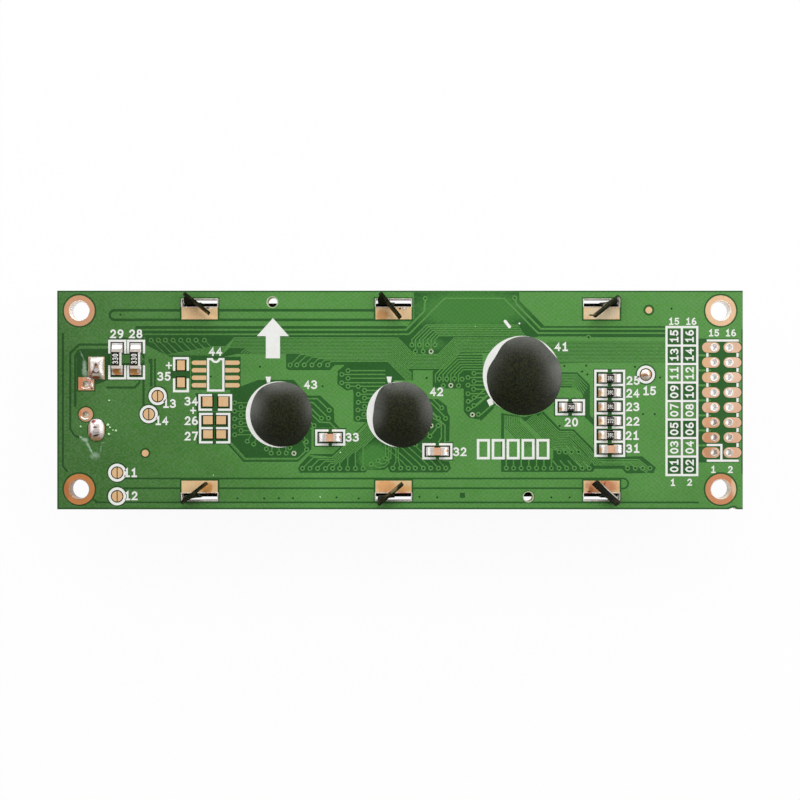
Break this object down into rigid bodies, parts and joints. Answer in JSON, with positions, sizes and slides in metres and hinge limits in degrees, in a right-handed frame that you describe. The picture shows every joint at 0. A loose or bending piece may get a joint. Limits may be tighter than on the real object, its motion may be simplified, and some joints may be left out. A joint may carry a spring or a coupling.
{
  "type": "character lcd module",
  "caption": "Two-line character display module lying face down: green board with resin-capped chips, small parts and a side header, on a black folded bezel with twist-lock tabs.",
  "frame": {"origin": "on the resting plane, under the middle of the circuit board", "axes": "+Z out of the component side of the board, +X along the board towards the header, +Y towards the display's upper edge"},
  "size_m": [0.116, 0.037, 0.0122],
  "materials": {
    "board_laminate": "green solder mask over glass-epoxy laminate, satin gloss",
    "bezel_paint": "black satin paint on folded steel",
    "polarizer_film": "yellow-green polarizer film, satin",
    "display_glass": "clear flat glass",
    "seal_adhesive": "cured clear adhesive",
    "zebra_rubber": "layered conductive silicone",
    "white_moulding": "white moulded plastic",
    "guide_acrylic": "clear moulded acrylic",
    "diffuser_film": "milky film",
    "reflector_film": "silvered film",
    "lamp_board": "green laminate",
    "lamp_body": "moulded lamp body",
    "tinned_pin": "tinned wire",
    "solder": "tin solder, bright with dull patches",
    "chip_resin": "black epoxy resin, smooth satin",
    "alumina": "white fired alumina",
    "resistor_glass": "black overglaze",
    "tin_plating": "tin plating, satin",
    "capacitor_ceramic": "tan fired ceramic",
    "bare_copper": "bare copper under a thin clear flux coat",
    "legend_ink": "white printed ink"
  },
  "bodies": {
    "root": {"circuit_board": "board_laminate", "bezel": "bezel_paint", "front_polarizer": "polarizer_film", "front_glass": "display_glass", "rear_glass": "display_glass", "rear_polarizer": "polarizer_film", "fill_port_seal": "seal_adhesive", "zebra_strip_upper": "zebra_rubber", "zebra_strip_lower": "zebra_rubber", "backlight_frame": "white_moulding", "light_guide": "guide_acrylic", "diffuser_film": "diffuser_film", "reflector_film": "reflector_film", "led_board": "lamp_board", "led_chips": "lamp_body", "backlight_pin_anode": "tinned_pin", "backlight_pin_cathode": "tinned_pin", "backlight_solder_anode": "solder", "backlight_solder_cathode": "solder", "resin_cap_left": "chip_resin", "resin_cap_middle": "chip_resin", "resin_cap_right": "chip_resin", "resistor_bodies": "alumina", "resistor_coats": "resistor_glass", "resistor_terminals": "tin_plating", "capacitor_bodies": "capacitor_ceramic", "capacitor_terminals": "tin_plating", "chip_lands": "bare_copper", "chip_solder": "solder", "mounting_rings": "bare_copper", "header_pads": "bare_copper", "tab_pads": "bare_copper", "backlight_lands": "bare_copper", "wire_pads": "bare_copper", "spare_ic_pads": "bare_copper", "spare_part_pads": "bare_copper", "jumper_pads": "bare_copper", "jumper_bridge": "solder", "test_pads": "bare_copper", "legend_part_outlines": "legend_ink", "legend_chip_rings": "legend_ink", "legend_jumper_rings": "legend_ink", "legend_pin_table": "legend_ink", "legend_header_marks": "legend_ink", "legend_arrow": "legend_ink"}
  },
  "joints": []
}
